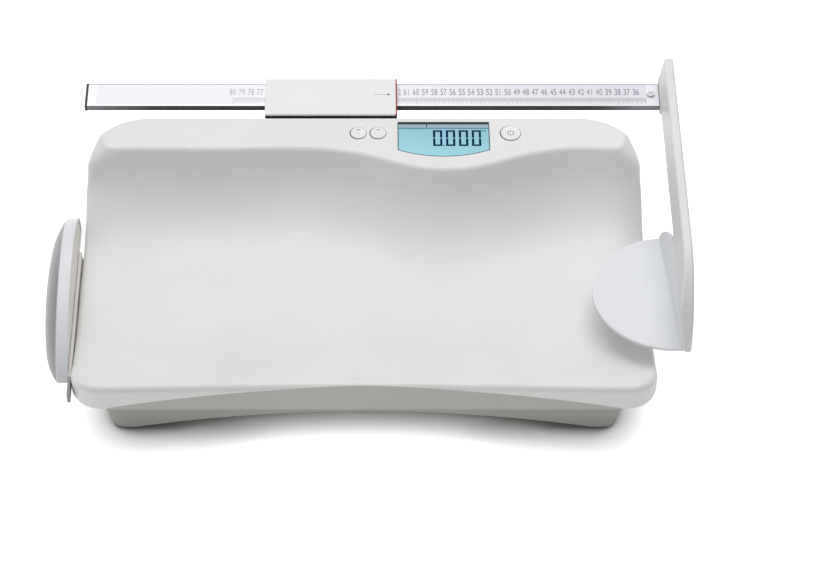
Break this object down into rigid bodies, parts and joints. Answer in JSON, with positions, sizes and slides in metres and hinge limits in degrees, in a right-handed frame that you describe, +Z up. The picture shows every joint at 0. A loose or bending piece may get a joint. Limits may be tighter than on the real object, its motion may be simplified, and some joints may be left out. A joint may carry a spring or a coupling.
{
  "type": "baby weighing scale with length measuring rod",
  "caption": "Digital baby scale: a moulded trough on a low base, a console with display and buttons, a head stop and a sliding measuring rod with a foot stop.",
  "frame": {"origin": "on the floor under the middle of the whole instrument's plan box at the rest reading", "axes": "+X along the tray towards the foot end, +Y from the front towards the console and the rod, +Z up"},
  "size_m": [0.6708, 0.3955, 0.186],
  "materials": {
    "tray_abs": "fine satin moulding",
    "window_acrylic": "clear polished",
    "lcd_glass": "smooth",
    "black_abs": "satin",
    "circuit_board": "solder mask",
    "button_abs": "satin",
    "grey_abs": "matt",
    "zinc_steel": "zinc plated",
    "base_abs": "matt moulding",
    "foot_rubber": "matt",
    "steel_plate": "pressed and plated",
    "cell_aluminium": "milled",
    "battery_can": "plain sleeve",
    "spring_steel": "nickel plated",
    "bracket_steel": "powder coated",
    "sleeve_abs": "satin",
    "red_abs": "satin",
    "acetal": "smooth",
    "rail_aluminium": "clear anodised",
    "strip_foil": "printed film",
    "arm_abs": "satin",
    "stop_abs": "satin"
  },
  "bodies": {
    "scale": {"weighing_tray": "tray_abs", "display_window": "window_acrylic", "display_glass": "lcd_glass", "display_holder": "black_abs", "main_circuit_board": "circuit_board", "tact_switches": "black_abs", "console_cover": "grey_abs", "console_screws": "zinc_steel", "power_socket": "black_abs", "base_housing": "base_abs", "rubber_feet": "foot_rubber", "floor_plate": "steel_plate", "floor_plate_screws": "zinc_steel", "cell_spacer_lower": "steel_plate", "cell_spacer_upper": "steel_plate", "load_cell": "cell_aluminium", "load_cell_bolts": "zinc_steel", "tray_carrier": "steel_plate", "tray_screws": "zinc_steel", "overload_stops": "steel_plate", "battery_box": "black_abs", "batteries": "battery_can", "battery_contacts": "spring_steel", "rod_bracket": "bracket_steel", "bracket_screws": "zinc_steel", "guide_sleeve": "black_abs", "sleeve_lid": "sleeve_abs", "reading_line": "red_abs", "glide_pads": "acetal", "sleeve_screws": "zinc_steel", "head_stop": "stop_abs", "head_stop_clip": "bracket_steel", "head_stop_screws": "zinc_steel"},
    "tare_button": {"tare_button": "button_abs"},
    "hold_button": {"hold_button": "button_abs"},
    "power_button": {"power_button": "button_abs"},
    "battery_door": {"battery_door": "base_abs"},
    "rod": {"measuring_rail": "rail_aluminium", "scale_strip": "strip_foil", "rail_end_cap": "black_abs", "rail_screw": "zinc_steel", "foot_arm": "arm_abs", "foot_stop": "stop_abs", "foot_stop_screws": "zinc_steel"}
  },
  "joints": [
    {"name": "rod_slide", "type": "slide", "parent": "scale", "child": "rod", "axis": [1, 0, 0], "range_m": [-0.271, 0.179]},
    {"name": "tare_button_press", "type": "slide", "parent": "scale", "child": "tare_button", "axis": [0, 0, -1], "range_m": [0, 0.001], "stiffness_N_per_m": 900, "springref_m": -0.0006},
    {"name": "hold_button_press", "type": "slide", "parent": "scale", "child": "hold_button", "axis": [0, 0, -1], "range_m": [0, 0.001], "stiffness_N_per_m": 900, "springref_m": -0.0006},
    {"name": "power_button_press", "type": "slide", "parent": "scale", "child": "power_button", "axis": [0, 0, -1], "range_m": [0, 0.001], "stiffness_N_per_m": 900, "springref_m": -0.0006},
    {"name": "battery_door_slide", "type": "slide", "parent": "scale", "child": "battery_door", "axis": [-1, 0, 0], "range_m": [0, 0.012]}
  ]
}
